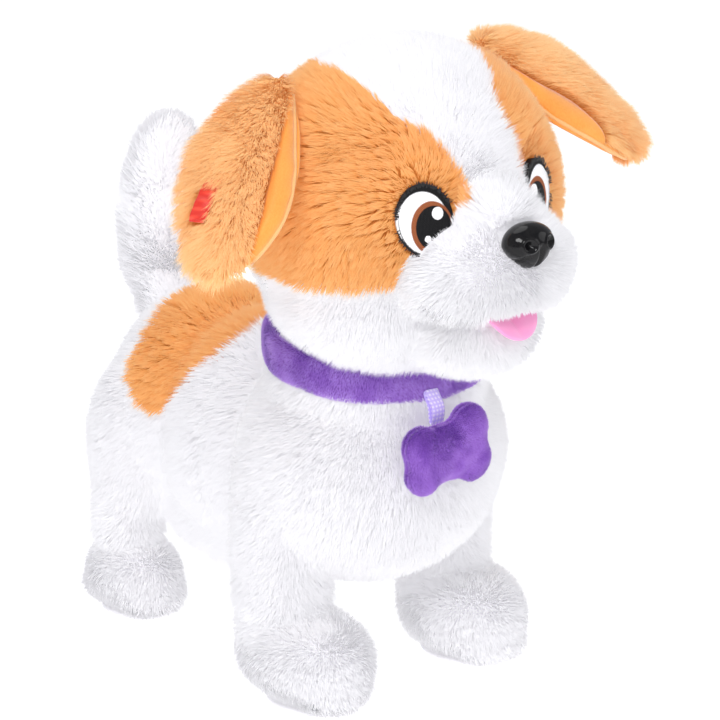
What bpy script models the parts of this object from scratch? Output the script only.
"""Interactive plush puppy: a standing soft toy with a motorised walking frame inside.

Metres, +Z up.  The puppy faces -Y, its own left side is +X.
Origin: bottom centre of its bounding box, so the soles rest on z = 0.
All design dimensions are in millimetres and converted in point() or by MM.
"""
import math
from collections import namedtuple

import bmesh
import bpy
from mathutils import Euler, Matrix, Vector

# ---------------------------------------------------------------- driving dimensions (mm)
MM = 0.001
Y_SHIFT = -8.03           # puts the middle of nose tip .. tail over the origin
GAP = 0.3                 # clearance between neighbouring pieces
SEAT_GAP = 0.4            # clearance round the eyes, nose and tongue in the head cover
SIDES = ((-1, "right"), (1, "left"))     # sign of X, name
SHARP_ANGLE = 35          # degrees; steeper edges are shaded sharp

# soft outline of the body: centre, semi-axes
CHEST = ((0, -23, 85), (54, 45, 49))
BELLY = ((0, 30, 77), (46, 60, 50))
RUMP = ((0, 72, 80), (46, 45, 49))
SHOULDER = ((32, -18, 76), (24, 26, 34))
THIGH = ((31, 84, 66), (21.5, 24, 38))
NECK = ((0, -26, 113), (39.5, 34.5, 30))
NECK_TOP = 131.5
SKIN = 7.0                # stuffing and cloth thickness of the body cover

# soft outline of the head: centre, semi-axes
HEAD = ((0, -41, 183), (60, 52, 59))
JOWL = ((0, -44, 158), (56, 46, 36))
MUZZLE = ((0, -84, 168), (35, 29, 26))
CHIN = ((0, -78, 145), (26, 24, 18))
HEAD_SKIN = 8.0
HEAD_PIVOT = (0, -26, 138)
NECK_XY = HEAD_PIVOT[:2]
NECK_YZ = HEAD_PIVOT[1:]
HEAD_TILT = -2.1          # degrees about Y: the head is carried a little to one side

# legs; radius is that of the upper leg, paw is centre and semi-axes on the left side
Leg = namedtuple("Leg", "hip_y x radius paw")
LEGS = {
    "front": Leg(-18.0, 38.0, 20.5, ((36.5, -33, 17), (24, 28, 19))),
    "rear": Leg(84.0, 37.0, 16.8, ((37, 80, 15.5), (20.3, 24, 17))),
}
FRONT_HIP_Y = LEGS["front"].hip_y
REAR_HIP_Y = LEGS["rear"].hip_y
HIP_Z = 72.0
HIP_R = 27.0              # leg covers are scooped out to this radius about the hip
HIP_BALL_R = 26.4         # body cover is rounded to this radius about the hip
SWING = 9.0               # degrees of leg swing that the covers leave free
SOLE_T = 1.8

# walking frame
CH_X, CH_Y0, CH_Y1, CH_Z0, CH_Z1 = 27.0, -38.0, 88.0, 50.0, 106.0
CH_CHAMFER = 9.0
WALL = 2.0
PIN_R = 2.0
LEVER_X0, LEVER_X1 = 29.6, 33.2
ROD_X0, ROD_X1 = 33.7, 35.7
ROD_Z = HIP_Z + 20.0      # tie-rod pins stand this high above the hips

# gear train; axes run along X and are given as (y, z)
GEAR_MODULE, BIG_TEETH, SMALL_TEETH = 1.0, 24, 8
GEAR_DIST = 16.4
CRANK = (32.0, 80.0)
IDLER = (CRANK[0] - GEAR_DIST, CRANK[1])
MOTOR = (CRANK[0] - 2 * GEAR_DIST, CRANK[1])
CRANK_THROW = 2.8

# battery tray
TRAY_X, TRAY_Y0, TRAY_Y1, TRAY_Z0 = 18.2, 6.0, 60.0, 33.0
TRAY_MID_Y = (TRAY_Y0 + TRAY_Y1) / 2

CHARM = (-7, -74.0, 98.0)

EAR_ROOT = (45, -34, 230)                # left side
EAR_TIPS = {-1: (-89.2, -64, 179.5), 1: (93.1, -64, 187.5)}

TAIL_AXIS = (0, 99)       # x, z of the tail pin, which runs along Y

# ---------------------------------------------------------------- materials
MATERIALS = {             # base colour, roughness, metallic
    "white_plush": ((0.86, 0.85, 0.88), 0.9, 0.0),
    "tan_plush": ((0.80, 0.44, 0.18), 0.9, 0.0),
    "ear_plush": ((0.82, 0.50, 0.24), 0.9, 0.0),
    "orange_lining": ((0.85, 0.36, 0.07), 0.6, 0.0),
    "sole_felt": ((0.8, 0.79, 0.8), 0.9, 0.0),
    "purple_minky": ((0.24, 0.08, 0.42), 0.85, 0.0),
    "lilac_satin": ((0.62, 0.52, 0.80), 0.35, 0.0),
    "red_satin": ((0.75, 0.03, 0.02), 0.4, 0.0),
    "pink_cloth": ((0.90, 0.32, 0.55), 0.5, 0.0),
    "eye_thread": ((0.05, 0.04, 0.04), 0.6, 0.0),
    "black_gloss": ((0.01, 0.01, 0.01), 0.12, 0.0),
    "black_plastic": ((0.03, 0.03, 0.03), 0.5, 0.0),
    "grey_plastic": ((0.25, 0.26, 0.28), 0.45, 0.0),
    "grey_plastic_light": ((0.55, 0.55, 0.57), 0.45, 0.0),
    "cream_plastic": ((0.8, 0.78, 0.7), 0.5, 0.0),
    "battery_wrap": ((0.1, 0.1, 0.12), 0.35, 0.0),
    "board_green": ((0.03, 0.25, 0.09), 0.4, 0.0),
    "steel": ((0.6, 0.6, 0.62), 0.3, 1.0),
    "brass": ((0.75, 0.55, 0.22), 0.3, 1.0),
}


def material(name):
    """The named material, made on first use."""
    mat = bpy.data.materials.get(name)
    if mat is None:
        rgb, roughness, metallic = MATERIALS[name]
        mat = bpy.data.materials.new(name)
        mat.use_nodes = True
        inputs = mat.node_tree.nodes["Principled BSDF"].inputs
        inputs["Base Color"].default_value = (*rgb, 1)
        inputs["Roughness"].default_value = roughness
        inputs["Metallic"].default_value = metallic
        mat.diffuse_color = (*rgb, 1)
    return mat


# ---------------------------------------------------------------- basic shapes (mm in)
def point(x, y, z):
    return Vector((x * MM, (y + Y_SHIFT) * MM, z * MM))


def around(centre, half):
    return centre - half, centre + half


def side_range(side, near, far):
    """X range from near to far off the mid-plane, on the side of the given sign."""
    return sorted((near * side, far * side))


def link(bm, name="shape"):
    mesh = bpy.data.meshes.new(name)
    bm.to_mesh(mesh)
    bm.free()
    ob = bpy.data.objects.new(name, mesh)
    bpy.context.scene.collection.objects.link(ob)
    return ob


def ellipsoid(centre, semi, lean=0, segments=24, rings=14):
    """Ellipsoid turned by lean degrees about X."""
    bm = bmesh.new()
    matrix = (Matrix.Translation(point(*centre))
              @ Euler((math.radians(lean), 0, 0)).to_matrix().to_4x4()
              @ Matrix.Diagonal((semi[0] * MM, semi[1] * MM, semi[2] * MM, 1)))
    bmesh.ops.create_uvsphere(bm, u_segments=segments, v_segments=rings, radius=1.0,
                              matrix=matrix)
    return link(bm)


def cyl(start, end, radius, segments=24):
    a, b = point(*start), point(*end)
    axis = b - a
    bm = bmesh.new()
    matrix = (Matrix.Translation((a + b) / 2)
              @ axis.to_track_quat("Z", "Y").to_matrix().to_4x4())
    bmesh.ops.create_cone(bm, cap_ends=True, segments=segments, radius1=radius * MM,
                          radius2=radius * MM, depth=axis.length, matrix=matrix)
    return link(bm)


def cyl_x(x0, x1, yz, radius, segments=24):
    return cyl((x0, *yz), (x1, *yz), radius, segments)


def cyl_y(y0, y1, xz, radius, segments=24):
    return cyl((xz[0], y0, xz[1]), (xz[0], y1, xz[1]), radius, segments)


def cyl_z(z0, z1, xy, radius, segments=24):
    return cyl((*xy, z0), (*xy, z1), radius, segments)


def box(xs, ys, zs):
    """Block over three (low, high) ranges."""
    low, high = (point(*corner) for corner in zip(xs, ys, zs))
    bm = bmesh.new()
    matrix = Matrix.Translation((low + high) / 2) @ Matrix.Diagonal((*(high - low), 1))
    bmesh.ops.create_cube(bm, size=1.0, matrix=matrix)
    return link(bm)


def prism(outline, push):
    """Closed outline of points pushed along a vector."""
    bm = bmesh.new()
    face = bm.faces.new([bm.verts.new(point(*p)) for p in outline])
    extruded = bmesh.ops.extrude_face_region(bm, geom=[face])["geom"]
    verts = [item for item in extruded if isinstance(item, bmesh.types.BMVert)]
    bmesh.ops.translate(bm, verts=verts, vec=Vector(push) * MM)
    bmesh.ops.recalc_face_normals(bm, faces=bm.faces)
    return link(bm)


def grown(blob, by):
    """The (centre, semi-axes) pair with its semi-axes lengthened."""
    return blob[0], tuple(semi + by for semi in blob[1])


def mirrored(blob, side):
    (x, y, z), semi = blob
    return (x * side, y, z), semi


# ---------------------------------------------------------------- modelling steps
def add_modifier(ob, kind, **settings):
    modifier = ob.modifiers.new(kind.lower(), kind)
    for key, value in settings.items():
        setattr(modifier, key, value)


def bake(ob):
    """Replace the mesh by the result of its modifiers."""
    bpy.context.view_layer.update()
    depsgraph = bpy.context.evaluated_depsgraph_get()
    mesh = bpy.data.meshes.new_from_object(ob.evaluated_get(depsgraph))
    ob.modifiers.clear()
    old = ob.data
    ob.data = mesh
    bpy.data.meshes.remove(old)


def is_open(ob):
    bm = bmesh.new()
    bm.from_mesh(ob.data)
    found = any(len(edge.link_faces) != 2 for edge in bm.edges)
    bm.free()
    return found


def boolean(ob, tools, operation):
    """Apply the tools one after another and remove them."""
    for tool in tools:
        before = ob.data.copy()
        add_modifier(ob, "BOOLEAN", object=tool, operation=operation, solver="EXACT")
        bake(ob)
        if is_open(ob):
            # the exact result has an open seam, so this step uses the manifold solver
            ob.data = before
            add_modifier(ob, "BOOLEAN", object=tool, operation=operation, solver="MANIFOLD")
            bake(ob)
        bpy.data.objects.remove(tool, do_unlink=True)
    return ob


def cut(ob, *tools):
    return boolean(ob, tools, "DIFFERENCE")


def join(ob, *tools):
    return boolean(ob, tools, "UNION")


def trim(ob, *tools):
    """Keep only what lies inside the tools."""
    return boolean(ob, tools, "INTERSECT")


def clay(blobs, voxel, triangles, smooth=3):
    """One soft closed body from overlapping shapes: voxel union, smoothing, reduction."""
    bm = bmesh.new()
    for blob in blobs:
        bm.from_mesh(blob.data)
    for blob in blobs:
        bpy.data.objects.remove(blob, do_unlink=True)
    ob = link(bm)
    add_modifier(ob, "REMESH", mode="VOXEL", voxel_size=voxel * MM)
    add_modifier(ob, "SMOOTH", factor=0.5, iterations=smooth)
    bake(ob)
    count = sum(len(polygon.vertices) - 2 for polygon in ob.data.polygons)
    add_modifier(ob, "DECIMATE", ratio=min(1.0, triangles / count))
    bake(ob)
    return ob


# ---------------------------------------------------------------- moving bodies
EMPTIES = {}


def set_parent(ob, parent):
    """Parent without moving the object."""
    bpy.context.view_layer.update()
    ob.parent = parent
    ob.matrix_parent_inverse = parent.matrix_world.inverted()


def empty(name, at, parent=None):
    ob = bpy.data.objects.new(name, None)
    bpy.context.scene.collection.objects.link(ob)
    ob.empty_display_size = 0.01
    ob.location = point(*at)
    EMPTIES[name] = ob
    if parent:
        set_parent(ob, EMPTIES[parent])
    bpy.context.view_layer.update()


def finish(ob, name, parent, material_name):
    """Name, colour and shade a piece, and hang it with its origin on its parent's."""
    ob.name = name
    ob.data.name = name
    ob.data.materials.clear()
    ob.data.materials.append(material(material_name))
    ob.data.shade_smooth()
    ob.data.set_sharp_from_angle(angle=math.radians(SHARP_ANGLE))
    origin = EMPTIES[parent].matrix_world.translation.copy()
    ob.data.transform(Matrix.Translation(-origin))
    ob.location = origin
    set_parent(ob, EMPTIES[parent])


def build_empties():
    """Parents standing on the axes of the moving parts."""
    empty("torso", (0, 0, 0))
    for _, name in SIDES:
        for end, leg in LEGS.items():
            empty(f"leg_{end}_{name}", (0, leg.hip_y, HIP_Z), "torso")
        empty(f"tie_rod_{name}_body", (0, FRONT_HIP_Y, ROD_Z), f"leg_front_{name}")
    empty("crank", (0, *CRANK), "torso")
    empty("idler", (0, *IDLER), "torso")
    empty("motor_drive", (0, *MOTOR), "torso")
    empty("head", HEAD_PIVOT, "torso")
    for side, name in SIDES:
        empty(f"ear_{name}", (EAR_ROOT[0] * side, *EAR_ROOT[1:]), "head")
    empty("tail", (TAIL_AXIS[0], 99, TAIL_AXIS[1]), "torso")
    empty("charm", (CHARM[0], -66.2, 114.0), "torso")
    empty("door", (0, TRAY_MID_Y, TRAY_Z0 - 2), "torso")
    empty("switch", (0, 69, 32), "torso")


for leftover in list(bpy.data.objects):
    bpy.data.objects.remove(leftover, do_unlink=True)
build_empties()

# ---------------------------------------------------------------- body cover
CHASSIS_ROOM = 0.8        # clearance round chassis and battery tray
ARC_STEPS = 12            # segments of the arc on top of a leg opening
WEDGE_DROP = 80           # length of the flaring sides of a leg opening


def body_blobs(growth):
    blobs = [CHEST, BELLY, RUMP]
    for side, _ in SIDES:
        blobs += [mirrored(SHOULDER, side), mirrored(THIGH, side)]
    blobs.append(NECK)
    return [ellipsoid(*grown(blob, growth)) for blob in blobs]


def chassis_block(growth, y0, y1):
    """Chamfered rectangle in X-Z over y0..y1, larger by growth all round."""
    x, z0, z1, c = CH_X + growth, CH_Z0 - growth, CH_Z1 + growth, CH_CHAMFER
    outline = [(x - c, z0), (x, z0 + c), (x, z1 - c), (x - c, z1),
               (-x + c, z1), (-x, z1 - c), (-x, z0 + c), (-x + c, z0)]
    return prism([(px, y0, pz) for px, pz in outline], (0, y1 - y0, 0))


def hip_wedge(hip_y, half_width, x0, x1):
    """Room below the hip ball for one leg and its swing: arc on top, flaring sides."""
    flare = math.radians(SWING)
    reach = math.asin(min(0.98, half_width / HIP_BALL_R)) + flare
    outline = []
    for i in range(ARC_STEPS + 1):
        angle = -reach + 2 * reach * i / ARC_STEPS
        outline.append((hip_y + HIP_BALL_R * math.sin(angle),
                        HIP_Z - HIP_BALL_R * math.cos(angle)))
    (y0, z0), (y1, z1) = outline[0], outline[-1]
    out, down = WEDGE_DROP * math.sin(flare), WEDGE_DROP * math.cos(flare)
    outline += [(y1 + out, z1 - down), (y0 - out, z0 - down)]
    return prism([(x0, y, z) for y, z in outline], (x1 - x0, 0, 0))


def body_cover():
    body = clay(body_blobs(0), voxel=4.0, triangles=620)
    stuffing_room = clay(body_blobs(-SKIN), voxel=5.0, triangles=200, smooth=2)
    cut(body, box((-80, 80), (-90, 40), (NECK_TOP, 190)))
    room = CHASSIS_ROOM
    cuts = [
        stuffing_room,
        chassis_block(room, CH_Y0 - room, CH_Y1 + room),
        # levers and tie rods
        box(around(0, 36.9), (FRONT_HIP_Y - 9.5, REAR_HIP_Y + 8), (63, 97.5)),
        # battery tray and switch well
        box(around(0, TRAY_X + room), (TRAY_Y0 - 1.5, 76), (10, 60)),
        cyl_z(100, 150, NECK_XY, 12.5),                   # neck post
        cyl((0, 93, 89.8), (0, 118, 128.6), 9.5),         # tail lever
    ]
    for side, _ in SIDES:
        for leg in LEGS.values():
            xs = side_range(side, leg.x - leg.radius - 1.6, 75)
            cuts.append(hip_wedge(leg.hip_y, leg.radius + 1.4, *xs))
            # slot for the swinging leg lever
            cuts.append(box(side_range(side, 28.8, 34.2), around(leg.hip_y, 11.5),
                            (HIP_Z - 27.6, HIP_Z + 1)))
    return cut(body, *cuts)


finish(body_cover(), "body_plush", "torso", "white_plush")


# ---------------------------------------------------------------- chassis halves
def half_shell(side):
    shell = chassis_block(0, CH_Y0, CH_Y1)
    cut(shell, chassis_block(-WALL, CH_Y0 + WALL, CH_Y1 - WALL))
    trim(shell, box(side_range(side, 0.15, 40), (-60, 110), (30, 130)))
    axes = [(leg.hip_y, HIP_Z) for leg in LEGS.values()] + [CRANK]
    holes = [cyl_x(20 * side, 32 * side, axis, PIN_R + GAP, 20) for axis in axes]
    # opening in the floor for the battery wires
    holes.append(box(side_range(side, -1, 9), (62, 72), (45, 55)))
    return cut(shell, *holes)


for side, name in SIDES:
    finish(half_shell(side), f"chassis_{name}", "torso", "grey_plastic")

# ---------------------------------------------------------------- legs
HUB_R = 6.5
SHANK_HALF_W = 5          # lever half width along Y, from the foot to the hip
ARM_HALF_W = 3.6          # lever half width along Y at its upper end
SHANK_Z0 = 6
FOOT_HALF_X = 11
FOOT_Z0, FOOT_Z1 = 5, 8.4
FOOT_SHARE = 0.66         # foot plate half length over paw half length
LEVER_FIT = 0.5           # clearance of the lever in its leg cover
ROD_PIN_END, ROD_PIN_R = 36.3, 1.6


def lever_blank(leg, side, growth=0):
    """Hub, shank, upper arm and foot plate of a leg lever, without pin or bore.

    The grown version, used to hollow the cover, leaves out the boss at the upper end.
    """
    x0, x1 = side_range(side, LEVER_X0 - growth, LEVER_X1 + growth)
    y, g = leg.hip_y, growth
    w, top_w = SHANK_HALF_W, ARM_HALF_W
    (_, paw_y, _), (_, paw_semi_y, _) = leg.paw
    foot_y0, foot_y1 = around(paw_y, paw_semi_y * FOOT_SHARE)
    outline = [(y - w - g, SHANK_Z0), (y + w + g, SHANK_Z0), (y + w + g, HIP_Z),
               (y + top_w + g, ROD_Z), (y - top_w - g, ROD_Z), (y - w - g, HIP_Z)]
    hub = cyl_x(x0, x1, (y, HIP_Z), HUB_R + g, 14)
    parts = [prism([(x0, py, pz) for py, pz in outline], (x1 - x0, 0, 0))]
    if growth == 0:
        parts.append(cyl_x(x0, x1, (y, ROD_Z), 3.95, 12))
    parts.append(box(side_range(side, leg.x - FOOT_HALF_X - g, leg.x + FOOT_HALF_X + g),
                     (min(foot_y0, y - w) - g, max(foot_y1, y + w) + g),
                     (FOOT_Z0 - g, FOOT_Z1 + g)))
    return join(hub, *parts)


def leg_lever(leg, side):
    lever = lever_blank(leg, side)
    join(lever, cyl_x((LEVER_X1 - 1) * side, ROD_PIN_END * side, (leg.hip_y, ROD_Z),
                      ROD_PIN_R, 12))
    return cut(lever, cyl_x(28 * side, 35 * side, (leg.hip_y, HIP_Z), PIN_R + GAP, 16))


def leg_cover(leg, side):
    upper_leg = cyl_z(10, HIP_Z, (leg.x * side, leg.hip_y), leg.radius, 28)
    paw = ellipsoid(*mirrored(leg.paw, side))
    cover = clay([upper_leg, paw], voxel=3.5, triangles=230)
    return cut(cover,
               cyl_x(10 * side, 70 * side, (leg.hip_y, HIP_Z), HIP_R, 36),
               box((-90, 90), around(leg.hip_y, 60), (-20, SOLE_T + GAP)),
               lever_blank(leg, side, LEVER_FIT))


def sole(leg, side):
    (x, y, _), (semi_x, semi_y, _) = mirrored(leg.paw, side)
    pad = ellipsoid((x, y, 0), (semi_x * 0.72, semi_y * 0.76, 30), segments=28, rings=10)
    return trim(pad, box((-80, 80), (-150, 150), (0, SOLE_T)))


def hip_pin(leg):
    axis = (leg.hip_y, HIP_Z)
    heads = [cyl_x(*side_range(side, 33.6, 34.9), axis, 3.6, 20) for side, _ in SIDES]
    return join(cyl_x(-34.4, 34.4, axis, PIN_R, 20), *heads)


for side, name in SIDES:
    for end, leg in LEGS.items():
        place = f"{end}_{name}"
        finish(leg_lever(leg, side), f"leg_lever_{place}", f"leg_{place}", "grey_plastic")
        finish(leg_cover(leg, side), f"leg_plush_{place}", f"leg_{place}", "white_plush")
        finish(sole(leg, side), f"sole_{place}", f"leg_{place}", "sole_felt")
for end, leg in LEGS.items():
    finish(hip_pin(leg), f"hip_pin_{end}", "torso", "steel")


# ---------------------------------------------------------------- tie rods
def tie_rod(side):
    """Bar with an eye over each hip and a drop plate slotted for the crank pin."""
    x0, x1 = side_range(side, ROD_X0, ROD_X1)
    through = side_range(side, 30, 40)
    ends = [(leg.hip_y, ROD_Z) for leg in LEGS.values()]
    rod = box((x0, x1), (FRONT_HIP_Y, REAR_HIP_Y), around(ROD_Z, 2.4))
    join(rod, *[cyl_x(x0, x1, end, 4.0, 14) for end in ends],
         box((x0, x1), around(CRANK[0], 10), (72.3, ROD_Z - 1)))
    return cut(rod, *[cyl_x(30 * side, 40 * side, end, 2.0, 14) for end in ends],
               box(through, around(CRANK[0], 7.7), around(CRANK[1], 5.3)))


for side, name in SIDES:
    finish(tie_rod(side), f"tie_rod_{name}", f"tie_rod_{name}_body", "cream_plastic")

# ---------------------------------------------------------------- gear train
ADDENDUM, DEDENDUM = 0.75, 1.15          # in modules
TIP_SHARE, ROOT_SHARE = 0.09, 0.21       # half tooth thickness in pitches


def gear(teeth, axis, x0, x1, phase=0.0):
    """Spur wheel with straight-flanked teeth; phase in tooth pitches from +Y."""
    pitch_r = GEAR_MODULE * teeth / 2
    root = pitch_r - DEDENDUM * GEAR_MODULE
    tip = pitch_r + ADDENDUM * GEAR_MODULE
    pitch = 2 * math.pi / teeth
    outline = []
    for i in range(teeth):
        middle = (i + phase) * pitch
        for radius, share in ((root, -ROOT_SHARE), (tip, -TIP_SHARE),
                              (tip, TIP_SHARE), (root, ROOT_SHARE)):
            angle = middle + share * pitch
            outline.append((x0, axis[0] + radius * math.cos(angle),
                            axis[1] + radius * math.sin(angle)))
    return prism(outline, (x1 - x0, 0, 0))


def crank_disc(side):
    """Disc with an off-centre pin; the pins of the two sides are half a turn apart."""
    pin_axis = (CRANK[0] + CRANK_THROW * side, CRANK[1])
    disc = cyl_x(27.5 * side, 29.6 * side, CRANK, 7.0, 20)
    join(disc, cyl_x(29.0 * side, 35.9 * side, pin_axis, 1.5, 12))
    return cut(disc, cyl_x(27.0 * side, 29.2 * side, CRANK, PIN_R + 0.2, 20))


shaft = join(cyl_x(-29.0, 29.0, CRANK, PIN_R, 20), gear(BIG_TEETH, CRANK, 4.6, 7.7, 0.5))
finish(shaft, "crank_shaft", "crank", "cream_plastic")
for side, name in SIDES:
    finish(crank_disc(side), f"crank_disc_{name}", "crank", "cream_plastic")

# two-step idler: the large wheel meets the pinion, the small one meets the crank wheel
idler = join(gear(BIG_TEETH, IDLER, 8.3, 11.7, 0.5), gear(SMALL_TEETH, IDLER, 4.2, 8.8))
cut(idler, cyl_x(3, 13, IDLER, 1.8, 16))
finish(idler, "idler_gear", "idler", "cream_plastic")
finish(cyl_x(-24.6, 24.6, IDLER, 1.5, 16), "idler_axle", "torso", "steel")

pinion = cut(gear(SMALL_TEETH, MOTOR, 8.6, 11.4), cyl_x(8, 12, MOTOR, 1.3, 16))
finish(pinion, "motor_pinion", "motor_drive", "brass")
motor = join(cyl_x(-20, 4.6, MOTOR, 10.0, 28), cyl_x(4, 12.5, MOTOR, 1.0, 12))
finish(motor, "drive_motor", "torso", "steel")

# ---------------------------------------------------------------- electronics
SPEAKER_XZ = (0, 84)

board = join(box((-19, 19), (46, 80), (93.0, 94.6)),
             box((-8, 2), (52, 62), (94, 96.6)),          # three parts on top
             box((6, 14), (66, 74), (94, 98)),
             box((-16, -10), (70, 78), (94, 99)))
finish(board, "circuit_board", "torso", "board_green")
speaker = join(cyl_y(-35.4, -32.0, SPEAKER_XZ, 14, 28), cyl_y(-32.5, -25.5, SPEAKER_XZ, 8, 24))
finish(speaker, "speaker", "torso", "steel")

# ---------------------------------------------------------------- battery compartment
TRAY_WALL = 1.6
CELL_R, CELL_L = 5.2, 44.0               # three AAA cells side by side
CELL_PITCH = 2 * CELL_R + 0.4
CELL_Y0 = TRAY_MID_Y - CELL_L / 2 + 0.8
CELL_Z = TRAY_Z0 + 6.2
DOOR_X = 16.0
DOOR_Z = TRAY_Z0 - 3.0                   # underside of the door
DOOR_RIBS = 6
RIB_PITCH = 5
SCREW_XY = (0, 54)


def battery_tray():
    zs = (TRAY_Z0, CH_Z0 - GAP)
    tray = box(around(0, TRAY_X), (TRAY_Y0, TRAY_Y1), zs)
    # switch well behind the cells
    join(tray, box((-9, 9), (TRAY_Y1 - 1, 75), zs))
    return cut(tray,
               box(around(0, TRAY_X - TRAY_WALL), (TRAY_Y0 + TRAY_WALL, TRAY_Y1 - TRAY_WALL),
                   (TRAY_Z0 - 2, TRAY_Z0 + 12.6)),
               box((-6.6, 6.6), (64, 72), (TRAY_Z0 - 3, TRAY_Z0 + 5)))


def battery(index):
    axis = ((index - 1) * CELL_PITCH, CELL_Z)
    cell = cyl_y(CELL_Y0, CELL_Y0 + CELL_L - 1, axis, CELL_R, 20)
    return join(cell, cyl_y(CELL_Y0 + CELL_L - 2, CELL_Y0 + CELL_L, axis, 1.9, 12))


def battery_door():
    door = box(around(0, DOOR_X), (TRAY_Y0 + GAP, TRAY_Y1 - GAP), (DOOR_Z, TRAY_Z0 - GAP))
    grooves = []
    for i in range(DOOR_RIBS):
        x0 = -DOOR_X + 2 + RIB_PITCH * i
        grooves.append(box((x0, x0 + 2), (TRAY_Y0 + 5, TRAY_Y0 + 14),
                           (TRAY_Z0 - 3.6, TRAY_Z0 - 2.4)))
    return cut(door, *grooves, cyl_z(TRAY_Z0 - 6, TRAY_Z0 - 1.4, SCREW_XY, 3.4, 16))


def door_screw():
    """Cross-slotted screw, its head facing down."""
    screw = cyl_z(DOOR_Z, TRAY_Z0 - 1.7, SCREW_XY, 2.6, 16)
    slots = [box(around(SCREW_XY[0], half_x), around(SCREW_XY[1], half_y),
                 (TRAY_Z0 - 3.6, TRAY_Z0 - 2.5)) for half_x, half_y in ((2.0, 0.4), (0.4, 2.0))]
    return cut(screw, *slots)


finish(battery_tray(), "battery_tray", "torso", "grey_plastic")
for i in range(3):
    finish(battery(i), f"battery_{i + 1}", "torso", "battery_wrap")
for end, ys in (("front", (TRAY_Y0 + 1.9, TRAY_Y0 + 2.5)),
                ("rear", (TRAY_Y1 - 2.5, TRAY_Y1 - 1.9))):
    plate = box((-15.8, 15.8), ys, (TRAY_Z0 + 1, TRAY_Z0 + 11.6))
    finish(plate, f"contact_plate_{end}", "torso", "steel")
finish(battery_door(), "battery_door", "door", "grey_plastic_light")
finish(door_screw(), "door_screw", "door", "steel")

knob = join(box((-5.6, 1.6), (64.6, 71.4), (33.6, 37.2)),
            box((-3.6, -0.4), (66, 70), (30.6, 34.2)))
finish(knob, "power_switch_knob", "switch", "black_plastic")

# ---------------------------------------------------------------- neck
HINGE_YS = around(HEAD_PIVOT[1], 5)      # depth of the post's tongue and the skull's lugs

post = join(cyl_z(CH_Z1 + GAP, 131, NECK_XY, 8.0),
            box((-3, 3), HINGE_YS, (125, HEAD_PIVOT[2])),
            cyl_x(-3, 3, NECK_YZ, 5.0))
cut(post, cyl_x(-8, 8, NECK_YZ, PIN_R + GAP, 20))
finish(post, "neck_post", "torso", "grey_plastic")
finish(cyl_x(-9.5, 9.5, NECK_YZ, PIN_R, 20), "neck_pin", "torso", "steel")

# ---------------------------------------------------------------- head
SOCKET_R = 48.5           # hollow under the head that clears neck and collar
EYE = (25.8, -86.0, 188.5)               # left side
EYE_NORMAL = Vector((0.401, -0.911, 0.088)).normalized()
EYE_HALF_W, EYE_HALF_H = 10.3, 13.0
EYE_SIDES = 18
NOSE = ((0, -107, 180), (9.6, 7.2, 8.0))
NOSE_XZ = (0, 180)
NOSE_STEM_Y = -104        # front end of the nose stem
TONGUE = ((0, -99.5, 149.5), (8.6, 9.2, 1.8))
TONGUE_LEAN = 18


def socket():
    x, y, z = HEAD_PIVOT
    ball = ellipsoid((x, y, z), (SOCKET_R,) * 3, segments=28, rings=16)
    return trim(ball, box((-90, 90), (-120, 60), (60, z)))


def eye_disc(side, growth, depth0, depth1):
    """Oval plate square to the eye normal, over depth0..depth1 along it."""
    normal = Vector((EYE_NORMAL.x * side, EYE_NORMAL.y, EYE_NORMAL.z))
    centre = Vector((EYE[0] * side, EYE[1], EYE[2]))
    up = (Vector((0, 0, 1)) - normal * normal.z).normalized()
    across = up.cross(normal)
    outline = []
    for i in range(EYE_SIDES):
        angle = 2 * math.pi * i / EYE_SIDES
        outline.append(centre + normal * depth0
                       + across * (EYE_HALF_W + growth) * math.cos(angle)
                       + up * (EYE_HALF_H + growth) * math.sin(angle))
    return prism(outline, normal * (depth1 - depth0))


def nose_solid(growth=0):
    return ellipsoid(*grown(NOSE, growth), segments=16, rings=10)


def tongue_solid(growth=0):
    return ellipsoid(*grown(TONGUE, growth), lean=TONGUE_LEAN, segments=16, rings=8)


def head_cover():
    blobs = [ellipsoid(*blob, segments=28, rings=16) for blob in (HEAD, JOWL, MUZZLE, CHIN)]
    return cut(clay(blobs, voxel=4.0, triangles=660),
               ellipsoid(*grown(HEAD, -HEAD_SKIN), segments=18, rings=10),
               socket(),
               cyl_z(130, 172, (0, -28), 23.0, 28),
               *[eye_disc(side, SEAT_GAP, -4.4, 9) for side, _ in SIDES],
               nose_solid(SEAT_GAP),
               cyl_y(NOSE_STEM_Y, -76, NOSE_XZ, 3.4, 16),
               tongue_solid(SEAT_GAP))


def head_frame():
    """Plastic skull, open below, that carries the cover on the neck pin by two lugs."""
    skull = box((-24, 24), (-62, -16), (160, 204))
    cut(skull, box((-22, 22), (-60, -18), (150, 202)))
    join(skull, box((-24, 24), (-38, -16), (160, 162.4)),
         *[box(side_range(side, 4, 8), HINGE_YS, (132.5, 161)) for side, _ in SIDES])
    return cut(skull, cyl_x(-10, 10, NECK_YZ, PIN_R + 0.7, 16))


finish(head_cover(), "head_plush", "head", "tan_plush")
for side, name in SIDES:
    finish(eye_disc(side, 0, -4.0, 0.8), f"eye_{name}", "head", "eye_thread")
nose = join(nose_solid(), cyl_y(NOSE_STEM_Y, -79.0, NOSE_XZ, 3.0, 16))
finish(nose, "nose", "head", "black_gloss")
washer = cut(cyl_y(-81.6, -80.2, NOSE_XZ, 7.5), cyl_y(-90, -78, NOSE_XZ, 3.3, 16))
finish(washer, "nose_washer", "head", "grey_plastic")
finish(tongue_solid(), "tongue", "head", "pink_cloth")
finish(head_frame(), "head_frame", "head", "grey_plastic")

# ---------------------------------------------------------------- ears
EAR_HALF_T = 5.5
HEAD_CLEARANCE = 1.5
# root point; unit vectors to the tip, the back edge and the head; root to tip length
EarFrame = namedtuple("EarFrame", "root along across inward length")


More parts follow.
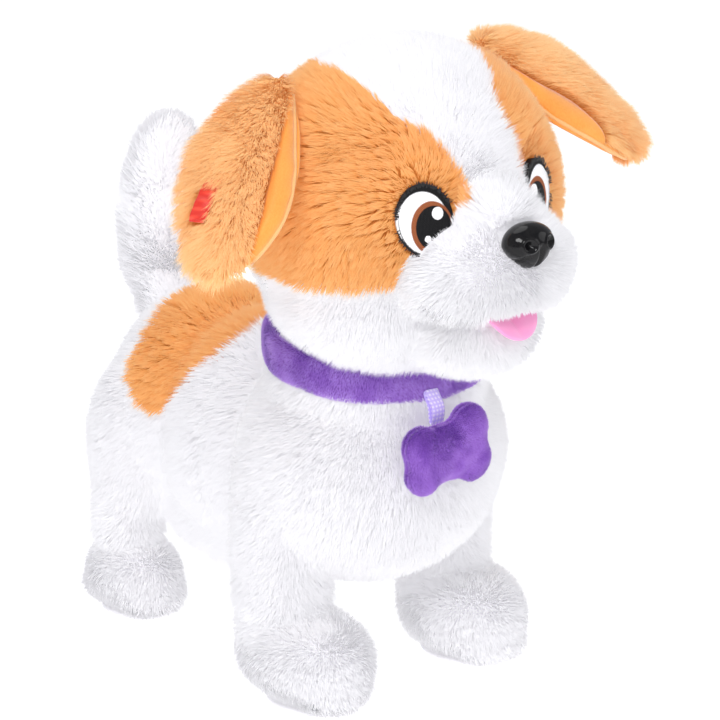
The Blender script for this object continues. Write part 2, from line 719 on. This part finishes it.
def ear_frame(side):
    root = Vector((EAR_ROOT[0] * side, EAR_ROOT[1], EAR_ROOT[2]))
    tip = Vector(EAR_TIPS[side])
    along = (tip - root).normalized()
    across = Vector((0.55 * side, 0.835, 0.0))
    across = (across - along * across.dot(along)).normalized()
    inward = along.cross(across) * -side
    return EarFrame(root, along, across, inward, (tip - root).length)


def ear_solid(ear, half_width, half_length, centre):
    """Flat ellipsoid centred at the given fraction of the ear's length."""
    bm = bmesh.new()
    axes = Matrix((ear.across, ear.inward, ear.along)).transposed().to_4x4()
    matrix = (Matrix.Translation(point(*(ear.root + ear.along * (ear.length * centre)))) @ axes
              @ Matrix.Diagonal((half_width * MM, EAR_HALF_T * MM, half_length * MM, 1)))
    bmesh.ops.create_uvsphere(bm, u_segments=20, v_segments=10, radius=1.0, matrix=matrix)
    if matrix.determinant() < 0:         # mirrored axes turn the faces inside out
        bmesh.ops.reverse_faces(bm, faces=bm.faces)
    return link(bm)


def ear_slab(ear, along0, along1, half_width, in0, in1):
    """Block in ear axes, measured from the root."""
    corners = ((along0, half_width), (along0, -half_width),
               (along1, -half_width), (along1, half_width))
    outline = [ear.root + ear.along * a + ear.across * w + ear.inward * in0
               for a, w in corners]
    return prism(outline, ear.inward * (in1 - in0))


def ear_layer(ear, in0, in1):
    """Slab wider and longer than the whole ear."""
    return ear_slab(ear, -20, ear.length + 20, 60, in0, in1)


def head_clearance():
    return ellipsoid(*grown(HEAD, HEAD_CLEARANCE), segments=28, rings=16)


def ear_switch(ear, plush):
    """Push button let into the inner face of the right ear."""
    centre = ear.root + ear.along * (ear.length * 0.52)

    def disc(in0, in1, radius):
        return cyl(centre + ear.inward * in0, centre + ear.inward * in1, radius)

    cut(plush, disc(-1.2, 6, 7.4))
    base = cut(disc(-0.9, 2.4, 7.0), disc(0.4, 4, 4.6))
    finish(base, "ear_switch_base", "ear_right", "cream_plastic")
    empty("ear_button_body", centre + ear.inward * 1.4, "ear_right")
    finish(disc(1.4, 2.4, 4.2), "ear_switch_button", "ear_button_body", "black_plastic")


def ear_patch(ear):
    """Small rectangle off the outer face of the right ear, near its back edge."""
    start = ear.length * 0.50
    patch = ear_slab(ear, start, start + 17, 4.0, 0, 0.9)
    patch.data.transform(Matrix.Translation((ear.across * 12.0 - ear.inward * 6.6) * MM))
    finish(patch, "ear_patch", "ear_right", "red_satin")


for side, name in SIDES:
    ear = ear_frame(side)
    plush = ear_solid(ear, 20.5, ear.length * 0.5, 0.5)
    cut(plush, ear_layer(ear, 2.6, 30), head_clearance())
    lining = ear_solid(ear, 16.0, ear.length * 0.42, 0.53)
    trim(lining, ear_layer(ear, 2.9, 4.1))
    cut(lining, head_clearance())
    if name == "right":
        ear_switch(ear, plush)
        ear_patch(ear)
    finish(plush, f"ear_{name}_plush", f"ear_{name}", "ear_plush")
    finish(lining, f"ear_{name}_lining", f"ear_{name}", "orange_lining")

# ---------------------------------------------------------------- tail
TAIL = ((0, 110, 153), (19, 19, 40))
TAIL_LEAN = 12.0
LEVER_KNEE, LEVER_END = (0, 115, 124), (0, 111, 150)

tail = cut(ellipsoid(*TAIL, lean=TAIL_LEAN, segments=16, rings=12),
           cyl((0, 99, 103), (0, 116, 125.3), 3.3, 12),
           cyl((0, 115.15, 123), (0, 110.9, 151), 3.3, 12))
finish(tail, "tail_plush", "tail", "white_plush")
tail_lever = join(cyl_y(96, 102, TAIL_AXIS, 5.5, 20),
                  cyl((0, 99.4, 102.4), LEVER_KNEE, 2.6, 12),
                  cyl(LEVER_KNEE, LEVER_END, 2.5, 12),
                  ellipsoid(LEVER_KNEE, (2.9, 2.9, 2.9), segments=12, rings=8))
cut(tail_lever, cyl_y(90, 110, TAIL_AXIS, PIN_R + GAP, 20))
finish(tail_lever, "tail_lever", "tail", "cream_plastic")
finish(cyl_y(CH_Y1 + GAP, 103.5, TAIL_AXIS, PIN_R, 20), "tail_pin", "torso", "steel")

# ---------------------------------------------------------------- collar, loop, bone charm
COLLAR_Z = 130.0
COLLAR_SEMI = (42.5, 36.6)
COLLAR_H, COLLAR_T = 12.0, 3.0
COLLAR_TILT = 13.0        # degrees; the collar rises towards the back
COLLAR_STEPS = 32
# cross-section: outward in thicknesses, upward in heights
COLLAR_SECTION = ((-0.5, -0.5), (0.5, -0.36), (0.62, 0.0), (0.5, 0.36), (-0.5, 0.5))
LOOP_Z = 116.6


def collar():
    bm = bmesh.new()
    slope = math.tan(math.radians(COLLAR_TILT))
    rings = []
    for i in range(COLLAR_STEPS):
        angle = 2 * math.pi * i / COLLAR_STEPS
        ring = []
        for out, up in COLLAR_SECTION:
            x = (COLLAR_SEMI[0] + out * COLLAR_T) * math.cos(angle)
            y = (COLLAR_SEMI[1] + out * COLLAR_T) * math.sin(angle)
            z = COLLAR_Z + y * slope + up * COLLAR_H
            ring.append(bm.verts.new(point(x, NECK_XY[1] + y, z)))
        rings.append(ring)
    for i in range(COLLAR_STEPS):
        ring, after = rings[i], rings[(i + 1) % COLLAR_STEPS]
        for j in range(len(COLLAR_SECTION)):
            k = (j + 1) % len(COLLAR_SECTION)
            bm.faces.new((ring[j], after[j], after[k], ring[k]))
    bmesh.ops.recalc_face_normals(bm, faces=bm.faces)
    return link(bm)


def loop_oval(semi_x, semi_z, sides, y, depth):
    """Upright oval plate from y backwards."""
    angles = [2 * math.pi * i / sides for i in range(sides)]
    outline = [(CHARM[0] + semi_x * math.cos(a), y, LOOP_Z + semi_z * math.sin(a))
               for a in angles]
    return prism(outline, (0, depth, 0))


def bone_charm():
    x, y, z = CHARM
    blobs = [ellipsoid((x + end * 11.5, y, z + level * 5.8), (8.6, 5.0, 8.2),
                       segments=20, rings=12) for end in (-1, 1) for level in (-1, 1)]
    blobs.append(ellipsoid(CHARM, (15, 4.6, 9.8), segments=20, rings=12))
    return clay(blobs, voxel=1.6, triangles=320)


finish(collar(), "collar", "torso", "purple_minky")
loop = cut(loop_oval(3.4, 6.4, 16, -67.4, 1.0), loop_oval(1.6, 4.2, 12, -70, 6.0))
finish(loop, "ribbon_loop", "torso", "lilac_satin")
finish(bone_charm(), "bone_charm", "charm", "purple_minky")

# ---------------------------------------------------------------- carried posture of the head
EMPTIES["head"].rotation_euler = (0, math.radians(HEAD_TILT), 0)
bpy.context.view_layer.update()
